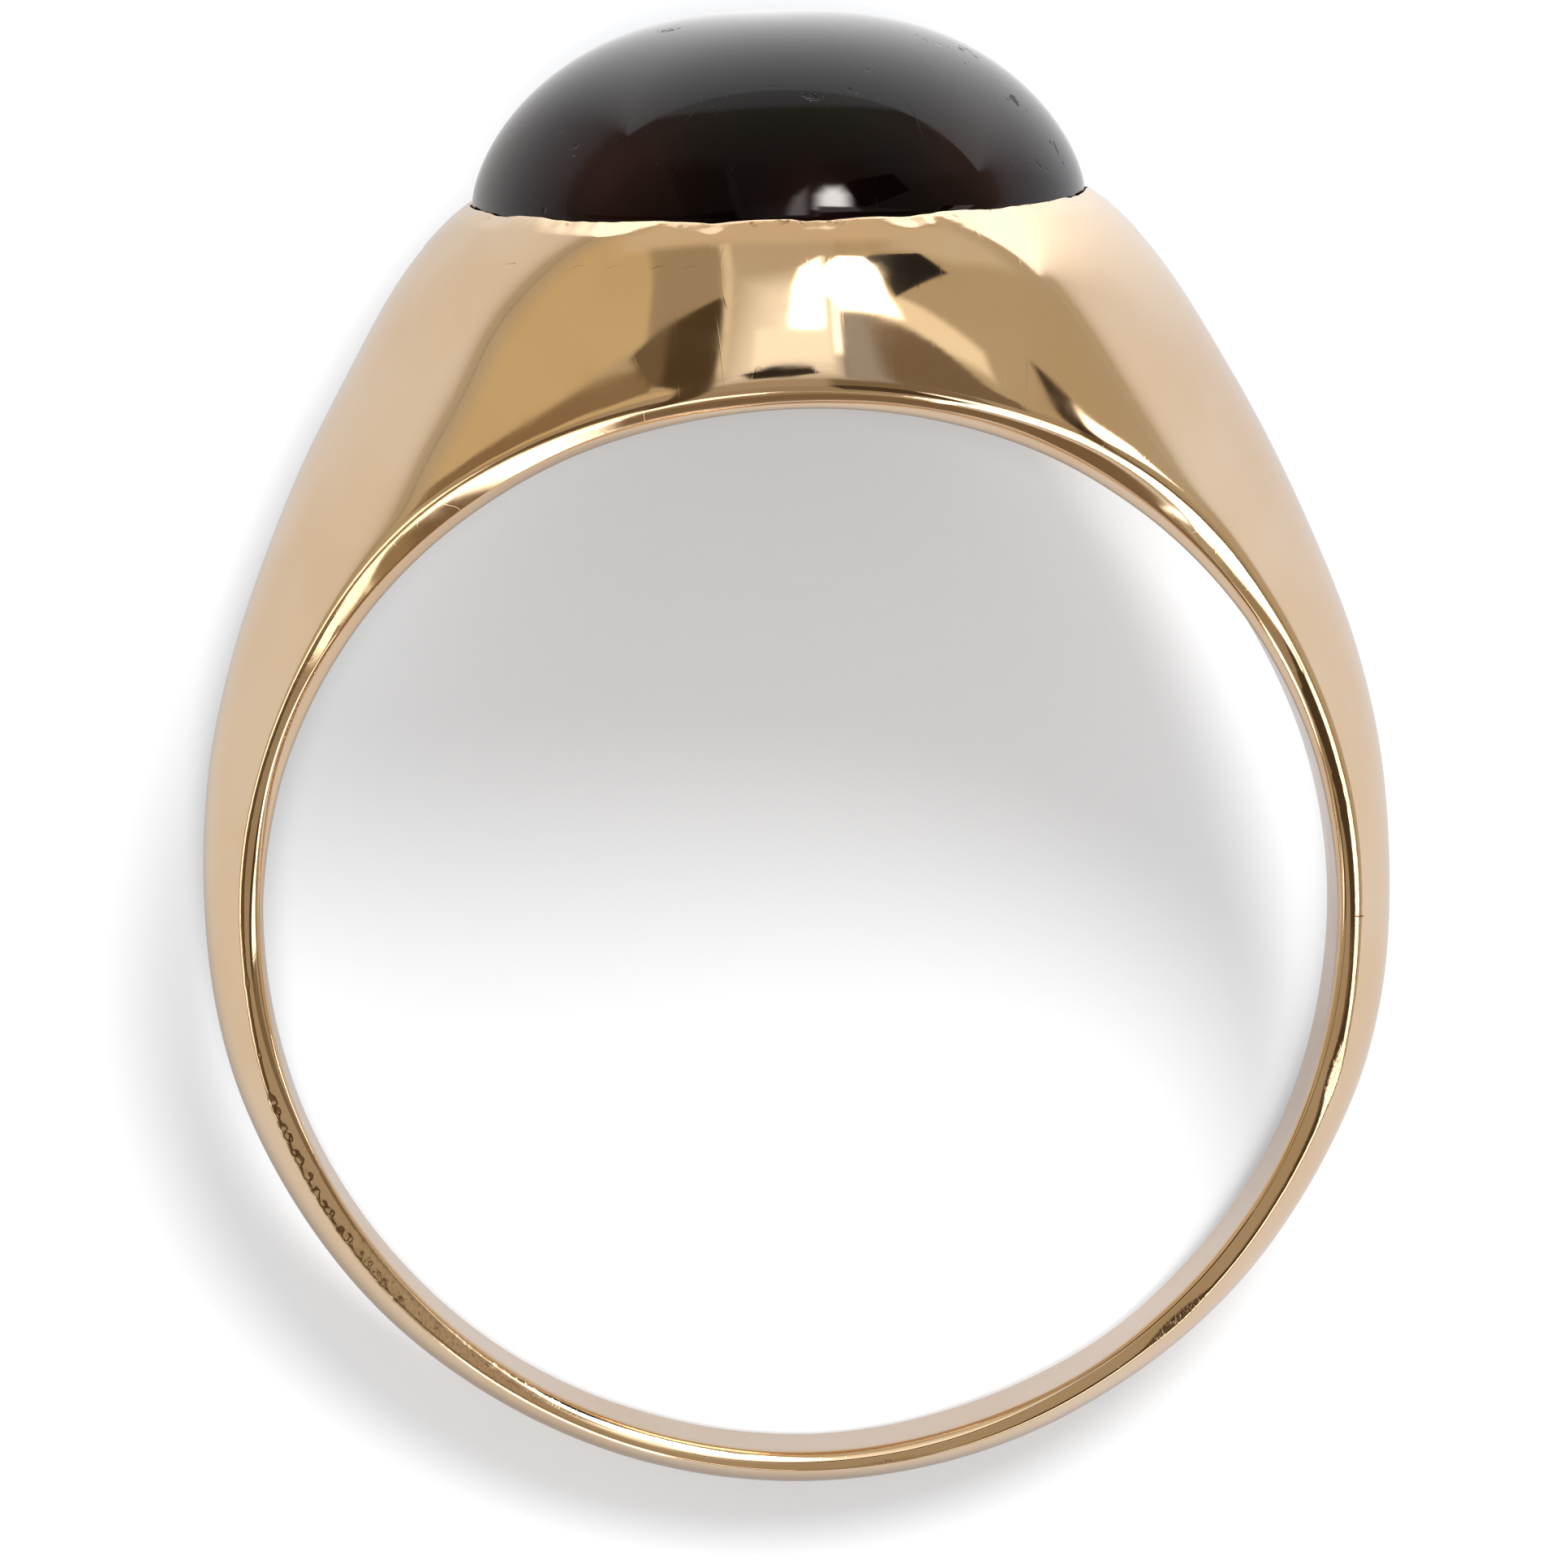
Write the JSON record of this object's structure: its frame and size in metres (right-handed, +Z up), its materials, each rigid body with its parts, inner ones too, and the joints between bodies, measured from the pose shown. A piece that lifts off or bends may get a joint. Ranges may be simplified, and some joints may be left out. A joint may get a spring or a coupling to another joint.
{
  "type": "garnet ring",
  "caption": "Flush-set finger ring: a gold hoop that swells into a domed head, with an oval garnet cabochon sunk into it.",
  "frame": {"origin": "on the surface that the ring lies on, under the middle of its outline", "axes": "+Z up from that surface; +Y level, from the back of the hoop towards the stone; +X across, so that the ring's two halves mirror each other over X = 0. The finger hole's axis leans 17.67 degrees from +Z towards -Y, because the ring lies on the widest place of its head and on the back of its hoop."},
  "size_m": [0.02, 0.0244, 0.0137],
  "materials": {
    "gold": "polished, lightly worn yellow gold",
    "garnet": "polished, very dark brownish red"
  },
  "bodies": {
    "root": {"ring_body": "gold", "garnet": "garnet"}
  },
  "joints": []
}
